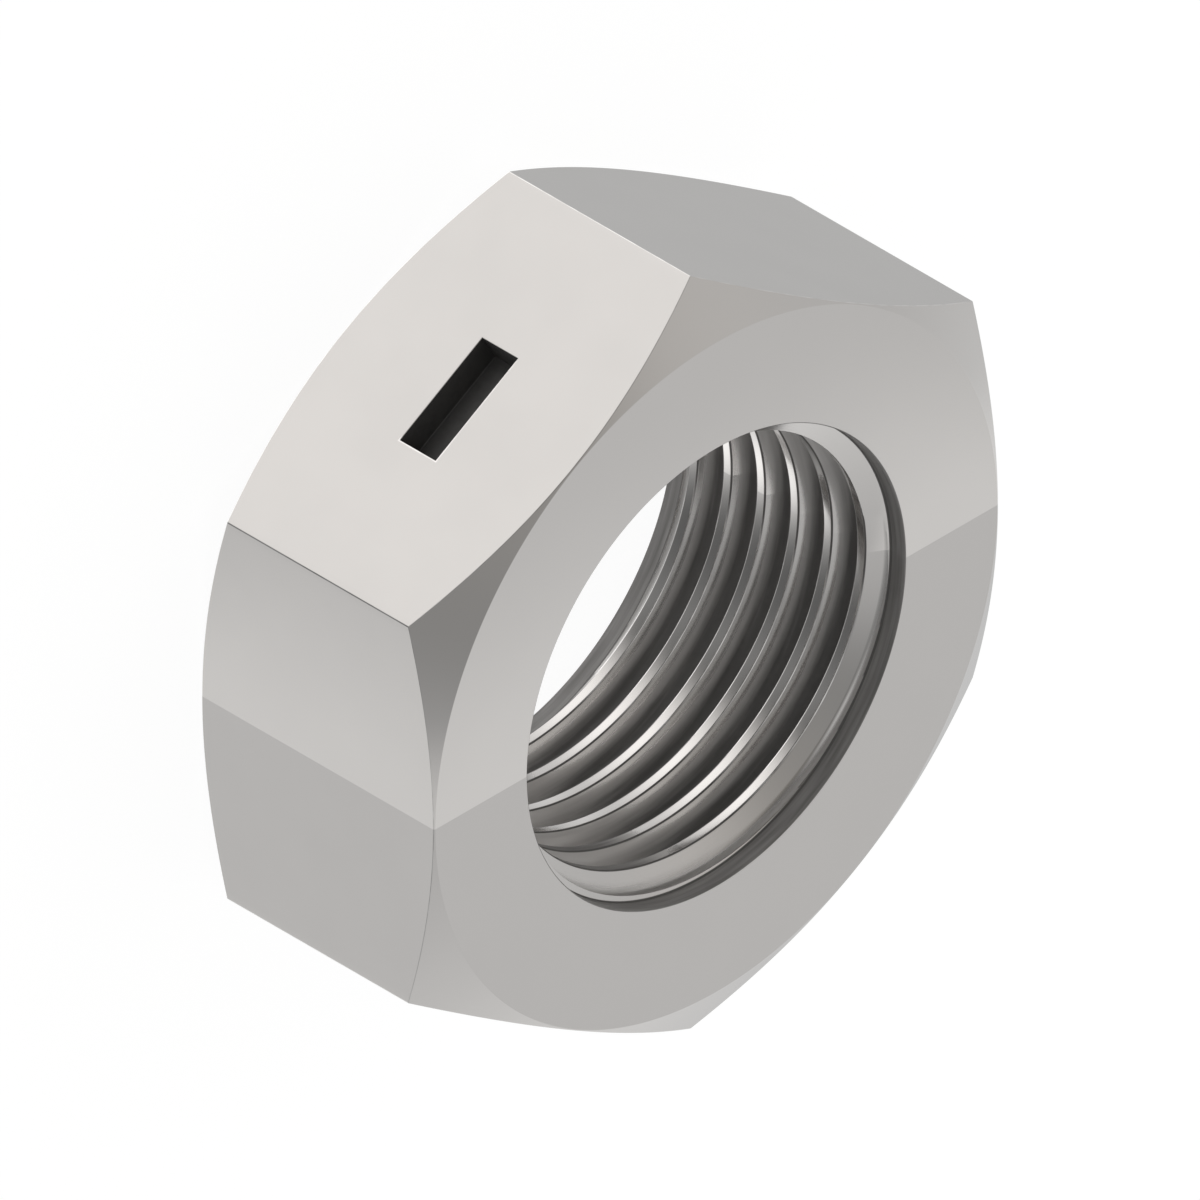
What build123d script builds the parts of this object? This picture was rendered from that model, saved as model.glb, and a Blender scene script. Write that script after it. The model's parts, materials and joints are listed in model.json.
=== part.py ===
from build123d import *
from build123d.topology import SkipClean
import os
from math import cos, radians, sin, tan

# Center lock nut: a thin hexagon nut with a fine right-hand thread, and a locking pocket
# punched into the middle of every second flat.
# The nut lies on its lower face. The origin is the middle of that face, +Z runs along
# the bore, and +X runs through the middle of a flat that has a pocket.

# Body
side_count = 6
across_flats = 23.8125
height = 9.82
face_inset = 0.05
chamfer_angle = 30

# Thread, with its crest and its depth as shares of the pitch
major_diameter = 15.875
pitch = 1.4111
crest_share = 0.25
depth_share = 0.448
flank_angle = 30
middle_groove_angle = 195
crest_overcut = 0.10
steps_per_turn = 4

# Relieved mouth of the bore, the same at both faces
mouth_clearance = 0.0275
mouth_wall_depth = 0.55
mouth_cone_angle = 30
mouth_fillet = 0.27

# Locking pockets
pocket_spacing = 2
pocket_length = 4.00
pocket_width = 1.50
pocket_depth = 1.10

# Worked out from the sizes above
flat_radius = across_flats / 2
corner_radius = flat_radius / cos(radians(180 / side_count))
face_radius = flat_radius - face_inset
root_radius = major_diameter / 2
crest_radius = root_radius - depth_share * pitch
crest_width = crest_share * pitch
mouth_radius = root_radius + mouth_clearance


def axial_points(places):
    """Points of a section through the axis, each given as its radius and its level."""
    return [Vector(radius, 0, level) for radius, level in places]


def arc_point(centre, radius, degrees):
    """The radius and level of a point on an arc of the section, by its angle from outwards."""
    return centre[0] + radius * cos(radians(degrees)), centre[1] + radius * sin(radians(degrees))


def hexagon_body():
    """The hexagon prism, its corners turned down to a cone at both faces."""
    chamfer_height = (corner_radius - face_radius) * tan(radians(chamfer_angle))
    flat_turn = 180 / side_count
    prism = extrude(RegularPolygon(flat_radius, side_count, major_radius=False, rotation=flat_turn), height)
    outline = axial_points(
        [
            (0, 0),
            (face_radius, 0),
            (corner_radius, chamfer_height),
            (corner_radius, height - chamfer_height),
            (face_radius, height),
            (0, height),
        ]
    )
    turned = revolve(Face(Wire.make_polygon(outline)), Axis.Z)
    return (prism & turned).solid()


def locking_pockets():
    """A straight-sided pocket sunk into the middle of every second flat."""
    pocket = Pos(flat_radius, 0, height / 2) * Box(2 * pocket_depth, pocket_length, pocket_width)
    turns = [flat * 360 / side_count for flat in range(0, side_count, pocket_spacing)]
    return [(Rot(0, 0, turn) * pocket).solid() for turn in turns]


def bore_wedges():
    """The bore at the crests of the thread, as equal wedges around the axis."""
    wedge_angle = 360 / steps_per_turn
    wedge = Solid.make_cylinder(crest_radius, height, angle=wedge_angle)
    turns = [middle_groove_angle + count * wedge_angle for count in range(steps_per_turn)]
    return [wedge.rotate(Axis.Z, turn) for turn in turns]


def groove_section(level):
    """The groove's section at one level: two flanks and a flat root, open past the crests."""
    slope = radians(flank_angle)
    apex_radius = crest_radius + (pitch - crest_width) / 2 / tan(slope)
    open_radius = crest_radius - crest_overcut
    open_reach = (apex_radius - open_radius) * tan(slope)
    root_reach = (apex_radius - root_radius) * tan(slope)
    outline = axial_points(
        [
            (open_radius, level - open_reach),
            (root_radius, level - root_reach),
            (root_radius, level + root_reach),
            (open_radius, level + open_reach),
        ]
    )
    return Face(Wire.make_polygon(outline))


def thread_groove():
    """The thread's groove, swept up a right-hand helix in short steps and past both faces."""
    turns_each_way = int(height / 2 / pitch) + 2
    start_level = height / 2 - turns_each_way * pitch
    step_rise = pitch / steps_per_turn
    step_angle = 360 / steps_per_turn
    step = Edge.make_helix(pitch, step_rise, crest_radius)
    path = Wire(
        [
            step.rotate(Axis.Z, count * step_angle).translate((0, 0, start_level + count * step_rise))
            for count in range(2 * turns_each_way * steps_per_turn)
        ]
    )
    groove = Solid.sweep(groove_section(start_level), path, is_frenet=True)
    return groove.rotate(Axis.Z, middle_groove_angle)


def mouth_reliefs():
    """The relief at each mouth: a short wall, a fillet, and a cone down to the crests."""
    centre = (mouth_radius - mouth_fillet, mouth_wall_depth)
    arc_end = 90 - mouth_cone_angle
    cone_start = arc_point(centre, mouth_fillet, arc_end)
    cone_end = (crest_radius, cone_start[1] + (cone_start[0] - crest_radius) * tan(radians(mouth_cone_angle)))
    face_centre, face_edge, wall_end, arc_middle, cone_outer, cone_inner, inner_centre = axial_points(
        [
            (0, 0),
            (mouth_radius, 0),
            (mouth_radius, mouth_wall_depth),
            arc_point(centre, mouth_fillet, arc_end / 2),
            cone_start,
            cone_end,
            (0, cone_end[1]),
        ]
    )
    outline = [
        Edge.make_line(face_centre, face_edge),
        Edge.make_line(face_edge, wall_end),
        Edge.make_three_point_arc(wall_end, arc_middle, cone_outer),
        Edge.make_line(cone_outer, cone_inner),
        Edge.make_line(cone_inner, inner_centre),
        Edge.make_line(inner_centre, face_centre),
    ]
    lower = revolve(Face(Wire(outline)), Axis.Z).solid()
    upper = lower.mirror(Plane.XY).translate((0, 0, height))
    return [lower, upper]


def lock_nut():
    """The whole nut, cut from its hexagon body. The bore's wall keeps the seams of its wedges."""
    nut = hexagon_body().cut(*locking_pockets())
    with SkipClean():
        nut = nut.cut(*bore_wedges())
        nut = nut.cut(thread_groove())
        nut = nut.cut(*mouth_reliefs())
    return nut.solid()


os.makedirs("parts", exist_ok=True)
export_step(lock_nut(), "parts/lock_nut.step")
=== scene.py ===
import json
import logging
import math
from dataclasses import dataclass, replace
from enum import Enum
from functools import cache, cached_property
from typing import Sequence

import bmesh
import bpy
from bmesh.types import BMesh, BMVert
from bpy.types import ID, Material, Mesh, Node, NodeSocket, NodeTree, Object, World
from mathutils import Matrix, Vector


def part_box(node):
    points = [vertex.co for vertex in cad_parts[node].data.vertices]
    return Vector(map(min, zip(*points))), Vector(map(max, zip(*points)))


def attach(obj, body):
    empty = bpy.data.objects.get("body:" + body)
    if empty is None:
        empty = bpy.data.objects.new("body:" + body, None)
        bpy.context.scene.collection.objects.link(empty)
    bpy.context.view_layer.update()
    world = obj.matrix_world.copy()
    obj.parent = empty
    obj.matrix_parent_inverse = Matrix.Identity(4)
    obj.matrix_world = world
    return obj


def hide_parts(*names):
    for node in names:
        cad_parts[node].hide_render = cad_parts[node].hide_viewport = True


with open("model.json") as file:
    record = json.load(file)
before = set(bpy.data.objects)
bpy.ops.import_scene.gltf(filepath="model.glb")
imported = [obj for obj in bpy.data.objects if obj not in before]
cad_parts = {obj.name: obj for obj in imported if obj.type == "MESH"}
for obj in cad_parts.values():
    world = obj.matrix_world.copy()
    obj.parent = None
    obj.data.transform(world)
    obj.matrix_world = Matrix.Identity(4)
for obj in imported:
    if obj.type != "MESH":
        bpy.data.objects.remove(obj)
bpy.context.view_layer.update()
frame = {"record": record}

# Looks of the center lock nut: its finished mesh, its steel, and the studio around it.
# The nut lies on its lower face. The origin is the middle of that face, +Z runs along the bore,
# and +X runs through the middle of a flat that has a pocket. Lengths are in metres and angles
# in degrees, unless a name says otherwise.

log = logging.getLogger("lock_nut")

Colour = tuple[float, float, float]
Span = tuple[float, float]
Ring = list[BMVert]

MM = 0.001
FULL_TURN = 360.0
WELD_DISTANCE = 0.0001 * MM
NODE = "lock_nut"

# Turn of the studio's axes about the bore's. They are those of the nut as it is seen: the first
# runs to the upper right of the picture, the second straight up, and the third along the bore
# to the lower right.
STUDIO_TURN = 240.0

# How finely the noises are broken up.
GRAIN_DETAIL = 3.0
MOTTLE_DETAIL = 4.0
WEAR_AND_HIGHLIGHT_DETAIL = 3.0
STREAK_DETAIL = 2.0

# Spans of a noise, or of the painted shade's cover, over which a share goes from nought to one.
WEAR_AND_HIGHLIGHT_SPAN = (0.35, 0.65)
MOTTLE_SPAN = (0.3, 0.7)
DULL_SPAN = (0.15, 0.60)
DARK_SPAN = (0.30, 0.95)
WHOLE_SPAN = (0.0, 1.0)


class Zone(Enum):
    """The material zones of the nut, in the order of its material slots."""

    MACHINED = 0
    POCKET = 1


class Mask(Enum):
    """The names of the masks that the mesh carries for its finishes."""

    # Edges brightened by wear and a painted highlight.
    WEAR_AND_HIGHLIGHT = "worn_edge"
    # Painted shade in the bore.
    PAINTED_SHADE = "oil_film"


def outward(azimuth: float) -> Vector:
    """Returns the direction away from the axis at an azimuth."""
    turn = math.radians(azimuth)
    return Vector((math.cos(turn), math.sin(turn), 0))


def eased(value: float, start: float, end: float) -> float:
    """Returns a share that goes smoothly from nought to one as a value goes from start to end."""
    share = min(max((value - start) / (end - start), 0.0), 1.0)
    return share * share * (3 - 2 * share)


@dataclass(frozen=True)
class Spot:
    """A point of a section through the axis.

    Args:
        radius: Distance from the axis.
        level: Height over the lower face.
        wear_and_highlight: True in the middle of an edge's round, brightened as wear and painted
            highlight.
        in_thread: True on the thread.
    """

    radius: float
    level: float
    wear_and_highlight: bool = False
    in_thread: bool = False


def between(start: Spot, end: Spot, share: float) -> Spot:
    """Returns the point at a share of the way from one point to another."""
    radius = start.radius + (end.radius - start.radius) * share
    return Spot(radius, start.level + (end.level - start.level) * share)


def divided(spots: Sequence[Spot], longest: float) -> list[Spot]:
    """Divides the runs of a section.

    Args:
        spots: The points of the section, by rising level.
        longest: The longest rise that is left between two points.

    Returns:
        The points, with the new ones between them.
    """
    made = [spots[0]]
    for start, end in zip(spots, spots[1:]):
        pieces = max(1, math.ceil((end.level - start.level) / longest))
        made += [between(start, end, piece / pieces) for piece in range(1, pieces + 1)]
    return made


@dataclass(frozen=True)
class Corner:
    """A corner of a section, and the round that breaks it.

    Args:
        radius: Distance of the corner from the axis.
        level: Height of the corner over the lower face.
        rounding: Radius of the round.
        steps: Straight steps that the round is made of, or nought for a plain corner.
        wear_and_highlight: True if the round is an outer edge, brightened as wear and painted
            highlight.
    """

    radius: float
    level: float
    rounding: float = 0.0
    steps: int = 0
    wear_and_highlight: bool = False

    def spots(self, before: "Corner", after: "Corner") -> list[Spot]:
        """Rounds the corner.

        Args:
            before: The corner before it.
            after: The corner after it.

        Returns:
            The points that stand for it in the section.
        """
        here = Vector((self.radius, self.level))
        if not self.steps:
            return [Spot(self.radius, self.level)]
        to_before = (Vector((before.radius, before.level)) - here).normalized()
        to_after = (Vector((after.radius, after.level)) - here).normalized()
        half = to_before.angle(to_after) / 2
        centre = here + (to_before + to_after).normalized() * (self.rounding / math.sin(half))
        start = here + to_before * (self.rounding / math.tan(half)) - centre
        end = here + to_after * (self.rounding / math.tan(half)) - centre
        sweep = math.pi - 2 * half
        spots = []
        for step in range(self.steps + 1):
            share = step / self.steps
            near, far = math.sin((1 - share) * sweep), math.sin(share * sweep)
            place = centre + (start * near + end * far) / math.sin(sweep)
            spots.append(Spot(place.x, place.y, self.wear_and_highlight and 0 < step < self.steps))
        return spots


def rounded(corners: Sequence[Corner]) -> list[Spot]:
    """Rounds a run of corners.

    Args:
        corners: The corners in order. The first and the last only give directions.

    Returns:
        The points of every corner but the first and the last.
    """
    spots: list[Spot] = []
    for before, corner, after in zip(corners, corners[1:], corners[2:]):
        spots += corner.spots(before, after)
    return spots


class Wiring:
    """A node tree that is being wired.

    Args:
        tree: The node tree of a material, a world or a group.
    """

    def __init__(self, tree: NodeTree) -> None:
        """Starts on a tree."""
        self.tree = tree

    def feed(self, target: NodeSocket, source: object) -> None:
        """Links a socket to its source, or sets it to a plain value.

        Args:
            target: The socket that is fed.
            source: The socket that it is linked to, or its value.
        """
        if isinstance(source, NodeSocket):
            self.tree.links.new(source, target)
        else:
            target.default_value = source

    def add(self, kind: str, fed: dict | None = None, **settings: object) -> Node:
        """Adds a node.

        Args:
            kind: Type of the node.
            fed: Sources or values of its inputs, by their names or their places.
            settings: Values of its properties, by their names.

        Returns:
            The node.
        """
        node = self.tree.nodes.new(kind)
        for name, value in settings.items():
            setattr(node, name, value)
        for socket, source in (fed or {}).items():
            self.feed(node.inputs[socket], source)
        return node

    def group(self, tree: NodeTree, **fed: object) -> Node:
        """Adds a group, with sources or values for its inputs by name, and returns its node."""
        return self.add("ShaderNodeGroup", fed, node_tree=tree)

    def math(self, operation: str, *values: object) -> NodeSocket:
        """Returns the outcome of a sum on numbers or sockets."""
        node = self.add("ShaderNodeMath", dict(enumerate(values)), operation=operation)
        return node.outputs["Value"]

    def vector(self, operation: str, *values: object) -> Node:
        """Adds a sum on vectors or sockets, and returns its node."""
        return self.add("ShaderNodeVectorMath", dict(enumerate(values)), operation=operation)

    def ramp(self, value: object, span: tuple, ends: tuple = WHOLE_SPAN) -> NodeSocket:
        """Adds a smooth way from one value to another.

        Args:
            value: What moves it along.
            span: The values of that, or their sockets, where the way starts and where it ends.
            ends: What it gives at its start and at its end, as values or sockets.

        Returns:
            The socket of what it gives.
        """
        names = ("Value", "From Min", "From Max", "To Min", "To Max")
        fed = dict(zip(names, (value, *span, *ends)))
        node = self.add("ShaderNodeMapRange", fed, interpolation_type="SMOOTHSTEP")
        return node.outputs["Result"]

    def blend(self, share: object, first: object, second: object) -> NodeSocket:
        """Blends two colours.

        Args:
            share: How much of the second one there is.
            first: The first colour, or its socket.
            second: The second colour, or its socket.

        Returns:
            The socket of the blend.
        """
        node = self.add("ShaderNodeMix", data_type="RGBA")
        shown = {socket.name: socket for socket in node.inputs if socket.enabled}
        for name, source in (("Factor", share), ("A", first), ("B", second)):
            self.feed(shown[name], source)
        return next(socket for socket in node.outputs if socket.enabled)

    def place(self) -> NodeSocket:
        """Returns the place on the object, in its own frame."""
        return self.add("ShaderNodeTexCoord").outputs["Object"]

    def mask(self, mask: Mask) -> NodeSocket:
        """Returns a mask that the mesh carries."""
        return self.add("ShaderNodeAttribute", attribute_name=mask.value).outputs["Fac"]

    def noise(
        self, place: NodeSocket, detail: float, scale: object = 1.0
    ) -> NodeSocket:
        """Returns a cloudy value between nought and one."""
        fed = {"Vector": place, "Scale": scale, "Detail": detail}
        return self.add("ShaderNodeTexNoise", fed, noise_dimensions="3D").outputs["Fac"]

    def clouds(self, size: NodeSocket, detail: float) -> NodeSocket:
        """Returns a cloudy value all over the object, with clouds of a given size."""
        return self.noise(self.place(), detail, self.math("DIVIDE", 1.0, size))

    def unrolled(self, feed: object, stretch: object) -> NodeSocket:
        """Adds the place on the object as if it were unrolled from around the axis.

        Args:
            feed: Length that one step of the place stands for, across the turning direction.
            stretch: Steps of the place in one radian around the axis.

        Returns:
            The socket of the place.
        """
        parts = self.add("ShaderNodeSeparateXYZ", {"Vector": self.place()}).outputs
        squares = [self.math("MULTIPLY", parts[axis], parts[axis]) for axis in "XY"]
        radius = self.math("SQRT", self.math("ADD", *squares))
        around = self.math("ABSOLUTE", self.math("ARCTAN2", parts["Y"], parts["X"]))
        fed = {
            "X": self.math("DIVIDE", radius, feed),
            "Y": self.math("MULTIPLY", around, stretch),
            "Z": self.math("DIVIDE", parts["Z"], feed),
        }
        return self.add("ShaderNodeCombineXYZ", fed).outputs["Vector"]


def cleared(owner: Material | World) -> Wiring:
    """Empties the node tree of a material or a world.

    Args:
        owner: The material or the world.

    Returns:
        The wiring of its tree.
    """
    owner.use_nodes = True
    owner.node_tree.nodes.clear()
    return Wiring(owner.node_tree)


def new_group(
    name: str, inputs: dict[str, float], outputs: Sequence[str]
) -> tuple[Wiring, Node]:
    """Starts a shader node group.

    Args:
        name: Name of the group.
        inputs: Names of its inputs, each with its usual value.
        outputs: Names of its outputs.

    Returns:
        The group's wiring and its input node.
    """
    tree = bpy.data.node_groups.new(name, "ShaderNodeTree")
    for label, value in inputs.items():
        socket = tree.interface.new_socket(label, in_out="INPUT", socket_type="NodeSocketFloat")
        socket.default_value = value
    for label in outputs:
        tree.interface.new_socket(label, in_out="OUTPUT", socket_type="NodeSocketFloat")
    wiring = Wiring(tree)
    return wiring, wiring.add("NodeGroupInput")


@cache
def fine_grain() -> NodeTree:
    """Makes the group for the steel's fine grain.

    Returns:
        A group that puts out the grain's height, and a slow mottle of the surface.
    """
    usual = {"Grain": 0.05 * MM, "Mottle": 2 * MM}
    wiring, given = new_group("fine_grain", usual, ("Height", "Mottle"))
    fed = {
        "Height": wiring.clouds(given.outputs["Grain"], GRAIN_DETAIL),
        "Mottle": wiring.clouds(given.outputs["Mottle"], MOTTLE_DETAIL),
    }
    wiring.add("NodeGroupOutput", fed)
    return wiring.tree


@cache
def edge_wear_and_highlight() -> NodeTree:
    """Makes the group for the wear and the painted highlight on outer edges.

    Returns:
        A group that puts out how much an edge is brightened by wear and a painted highlight, broken
        up by a noise.
    """
    wiring, given = new_group("edge_wear_and_highlight", {"Breakup": 0.6 * MM, "Least": 0.3}, ("Wear and highlight",))
    cloud = wiring.clouds(given.outputs["Breakup"], WEAR_AND_HIGHLIGHT_DETAIL)
    patches = wiring.ramp(cloud, WEAR_AND_HIGHLIGHT_SPAN, (given.outputs["Least"], 1.0))
    wear_and_highlight_share = wiring.math("MULTIPLY", wiring.mask(Mask.WEAR_AND_HIGHLIGHT), patches)
    wiring.add("NodeGroupOutput", {"Wear and highlight": wear_and_highlight_share})
    return wiring.tree


@cache
def turning_marks() -> NodeTree:
    """Makes the group for the fine rings that a lathe leaves around the axis.

    Returns:
        A group that puts out the height of the rings.
    """
    usual = {"Feed": 0.06 * MM, "Stretch": 0.02}
    wiring, given = new_group("turning_marks", usual, ("Height",))
    place = wiring.unrolled(given.outputs["Feed"], given.outputs["Stretch"])
    wiring.add("NodeGroupOutput", {"Height": wiring.noise(place, STREAK_DETAIL)})
    return wiring.tree


@cache
def painted_shade_streaks() -> NodeTree:
    """Makes the group for the painted shade in the bore, in streaks around the axis.

    Returns:
        A group that puts out how dull the film makes the steel, and how dark.
    """
    usual = {"Width": 0.16 * MM, "Stretch": 2.5, "Swing": 0.45}
    wiring, given = new_group("painted_shade_streaks", usual, ("Dull", "Dark"))
    place = wiring.unrolled(given.outputs["Width"], given.outputs["Stretch"])
    streak = wiring.math("SUBTRACT", wiring.noise(place, STREAK_DETAIL), 0.5)
    swing = wiring.math("MULTIPLY_ADD", streak, given.outputs["Swing"], 1.0)
    cover = wiring.math("MULTIPLY", wiring.mask(Mask.PAINTED_SHADE), swing)
    fed = {"Dull": wiring.ramp(cover, DULL_SPAN), "Dark": wiring.ramp(cover, DARK_SPAN)}
    wiring.add("NodeGroupOutput", fed)
    return wiring.tree


@dataclass(frozen=True)
class SteelFinish:
    """A finish of bare steel.

    Args:
        name: Name of the finish.
        colour: Colour of the steel.
        mottled: Colour of the mottle that runs over it.
        wear_and_highlight: Colour of edges that are worn bright and carry a painted highlight.
        painted_shade_colour: Colour of the painted shade in the bore.
        metallic: How much of it is bare metal.
        roughness: Roughness where the steel is smoothest.
        roughness_swing: How much rougher the mottle makes it.
        wear_and_highlight_roughness: Roughness of those bright edges.
        grain: Size of a grain.
        mottle: Size of a patch of mottle.
        grain_height: Height of the grain.
        ring_height: Height of the turning marks.
        painted_shade_roughness: Roughness where the painted shade lies.
        wear_and_highlight_patch: Size of a patch of wear and highlight along an edge.
        ring_feed: Distance from one turning mark to the next.
        streak_width: Width of a streak of the painted shade.
    """

    name: str
    colour: Colour
    mottled: Colour
    wear_and_highlight: Colour
    painted_shade_colour: Colour
    metallic: float
    roughness: float
    roughness_swing: float
    wear_and_highlight_roughness: float
    grain: float
    mottle: float
    grain_height: float
    ring_height: float
    painted_shade_roughness: float = 0.50
    wear_and_highlight_patch: float = 0.6 * MM
    ring_feed: float = 0.06 * MM
    streak_width: float = 0.16 * MM

    def material(self) -> Material:
        """Builds the finish.

        Returns:
            The material.
        """
        made = bpy.data.materials.new(self.name)
        wiring = cleared(made)
        surface = wiring.group(fine_grain(), Grain=self.grain, Mottle=self.mottle).outputs
        wear_and_highlight_share = wiring.group(edge_wear_and_highlight(), Breakup=self.wear_and_highlight_patch).outputs["Wear and highlight"]
        rings = wiring.group(turning_marks(), Feed=self.ring_feed).outputs["Height"]
        painted_shade = wiring.group(painted_shade_streaks(), Width=self.streak_width).outputs
        steel = wiring.blend(surface["Mottle"], (*self.colour, 1), (*self.mottled, 1))
        # Edges are brightened by wear and by a painted highlight.
        unshaded = wiring.blend(wear_and_highlight_share, steel, (*self.wear_and_highlight, 1))
        rougher = self.roughness + self.roughness_swing
        roughness = wiring.ramp(surface["Mottle"], MOTTLE_SPAN, (self.roughness, rougher))
        roughness = wiring.ramp(wear_and_highlight_share, WHOLE_SPAN, (roughness, self.wear_and_highlight_roughness))
        grain = wiring.math("MULTIPLY", surface["Height"], self.grain_height)
        relief = wiring.math("MULTIPLY_ADD", rings, self.ring_height, grain)
        relief = wiring.math("MULTIPLY", relief, wiring.math("SUBTRACT", 1.0, painted_shade["Dull"]))
        bump = wiring.add("ShaderNodeBump", {"Distance": 1.0, "Height": relief})
        fed = {
            # The painted shade darkens the steel in the bore, and dulls it.
            "Base Color": wiring.blend(painted_shade["Dark"], unshaded, (*self.painted_shade_colour, 1)),
            "Roughness": wiring.ramp(painted_shade["Dull"], WHOLE_SPAN, (roughness, self.painted_shade_roughness)),
            "Metallic": wiring.ramp(painted_shade["Dull"], WHOLE_SPAN, (self.metallic, 0.0)),
            "Normal": bump.outputs["Normal"],
        }
        shader = wiring.add("ShaderNodeBsdfPrincipled", fed)
        wiring.add("ShaderNodeOutputMaterial", {"Surface": shader.outputs["BSDF"]})
        return made


MACHINED_STEEL = SteelFinish(
    name="machined_steel",
    colour=(0.622, 0.605, 0.590),
    mottled=(0.606, 0.590, 0.576),
    # Colour of bright edges: wear and a painted highlight.
    wear_and_highlight=(0.860, 0.845, 0.830),
    # Colour of the painted shade in the bore.
    painted_shade_colour=(0.125, 0.120, 0.116),
    metallic=1.0,
    roughness=0.11,
    roughness_swing=0.04,
    wear_and_highlight_roughness=0.08,
    grain=0.05 * MM,
    mottle=2.5 * MM,
    grain_height=0.00002 * MM,
    ring_height=0.00003 * MM,
)

# Pressed steel of the pockets, darkened all over as painted shade in the recess; its roughness and
# metallic are its own.
PRESSED_STEEL_PAINTED_SHADE = SteelFinish(
    name="pressed_steel_painted_shade",
    colour=(0.180, 0.175, 0.171),
    mottled=(0.110, 0.107, 0.105),
    wear_and_highlight=(0.350, 0.340, 0.330),
    painted_shade_colour=(0.070, 0.068, 0.067),
    metallic=0.6,
    roughness=0.38,
    roughness_swing=0.20,
    wear_and_highlight_roughness=0.20,
    grain=0.04 * MM,
    mottle=0.4 * MM,
    grain_height=0.0006 * MM,
    ring_height=0.0,
)

FINISHES = {Zone.MACHINED: MACHINED_STEEL, Zone.POCKET: PRESSED_STEEL_PAINTED_SHADE}


@dataclass(frozen=True)
class Thread:
    """The right-hand thread in the bore.

    Args:
        crest_radius: Radius of the crests, which are flat.
        middle_level: Level of the groove where it passes its middle azimuth.
        middle_azimuth: Azimuth where the groove is at the middle level.
        root_radius: Radius of the deepest line of the groove.
        pitch: Rise of the thread in one turn.
        crest_share: Width of a crest, as a share of the pitch.
        flank_angle: Slope of a flank from a plane across the axis.
        edge_round: Round on the edges of a crest.
        edge_steps: Straight steps of that round.
        root_steps: Straight steps from the middle of the root to a flank.
    """

    crest_radius: float
    middle_level: float
    middle_azimuth: float = 195.0
    root_radius: float = 7.9375 * MM
    pitch: float = 1.4111 * MM
    crest_share: float = 0.25
    flank_angle: float = 30.0
    edge_round: float = 0.085 * MM
    edge_steps: int = 4
    root_steps: int = 6

    def half_groove(self) -> list[Spot]:
        """Rounds the root and the crest's edge of half a groove.

        Returns:
            The section from the middle of the root to the end of the round on the crest's edge.
        """
        slope = math.radians(self.flank_angle)
        crest_edge = self.pitch * (1 - self.crest_share) / 2
        apex_radius = self.crest_radius + crest_edge / math.tan(slope)
        root_round = (apex_radius - self.root_radius) / (1 / math.sin(slope) - 1)
        root_centre = self.root_radius - root_round
        sweep = math.pi / 2 - slope
        turns = [sweep * step / self.root_steps for step in range(self.root_steps + 1)]
        root = [
            Spot(root_centre + root_round * math.cos(turn), root_round * math.sin(turn))
            for turn in turns
        ]
        edge = rounded(
            [
                Corner(root[-1].radius, root[-1].level),
                Corner(self.crest_radius, crest_edge, self.edge_round, self.edge_steps, wear_and_highlight=True),
                Corner(self.crest_radius, self.pitch / 2),
            ]
        )
        return root + edge

    @cached_property
    def one_pitch(self) -> list[Spot]:
        """One pitch of the section, upwards from the middle of a root."""
        rising = self.half_groove()
        return rising + [replace(spot, level=self.pitch - spot.level) for spot in rising[:0:-1]]

    def first_level(self, azimuth: float, turns: int) -> float:
        """Returns the level at an azimuth of the root that lies some turns under the middle one."""
        turned = (azimuth - self.middle_azimuth) / FULL_TURN
        return self.middle_level + self.pitch * (turned - turns)

    def radius_at(self, level: float, azimuth: float) -> float:
        """Finds the thread's surface.

        Args:
            level: Height over the lower face.
            azimuth: Azimuth around the axis.

        Returns:
            The radius of the surface there.
        """
        over_root = (level - self.first_level(azimuth, 0)) % self.pitch
        run = [*self.one_pitch, Spot(self.root_radius, self.pitch)]
        pairs = zip(run, run[1:])
        around = (pair for pair in pairs if pair[1].level > over_root)
        below, above = next(around, (run[-2], run[-1]))
        share = (over_root - below.level) / (above.level - below.level)
        return below.radius + (above.radius - below.radius) * share


@dataclass(frozen=True)
class Mouth:
    """The relieved mouth of the bore, the same at both faces.

    Args:
        thread: The thread, to whose crests the mouth's cone runs down.
        clearance: How far the short wall behind the edge stands clear of the thread's roots.
        wall_depth: Depth at which the wall ends.
        fillet: Fillet between the wall and the cone.
        cone_angle: Slope of the cone from a plane across the axis.
        edge_round: Round on the edge at the face.
        edge_steps: Straight steps of that round.
        fillet_steps: Straight steps of the fillet.
    """

    thread: Thread
    clearance: float = 0.0275 * MM
    wall_depth: float = 0.55 * MM
    fillet: float = 0.10 * MM
    cone_angle: float = 30.0
    edge_round: float = 0.05 * MM
    edge_steps: int = 4
    fillet_steps: int = 4

    @property
    def radius(self) -> float:
        """Radius of the short wall."""
        return self.thread.root_radius + self.clearance

    def section(self) -> list[Spot]:
        """Rounds the corners of the mouth.

        Returns:
            The section from the end of the edge's round to the crests, with depths as its levels.
        """
        slope = math.tan(math.radians(self.cone_angle))
        half_turn = math.radians(90 - self.cone_angle) / 2
        corner_depth = self.wall_depth + self.fillet * math.tan(half_turn)
        end_radius = self.thread.crest_radius
        end_depth = corner_depth + (self.radius - end_radius) * slope
        corners = [
            Corner(self.radius, self.edge_round),
            Corner(self.radius, corner_depth, self.fillet, self.fillet_steps),
            Corner(end_radius, end_depth),
        ]
        return rounded(corners) + [Spot(end_radius, end_depth)]


@dataclass(frozen=True)
class Column:
    """An upright line of the nut's skin.

    Args:
        azimuth: Its azimuth.
        flat_radius: Radius of the outside there, between the cones.
        on_edge: True inside the round of an upright edge.
    """

    azimuth: float
    flat_radius: float
    on_edge: bool = False


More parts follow.
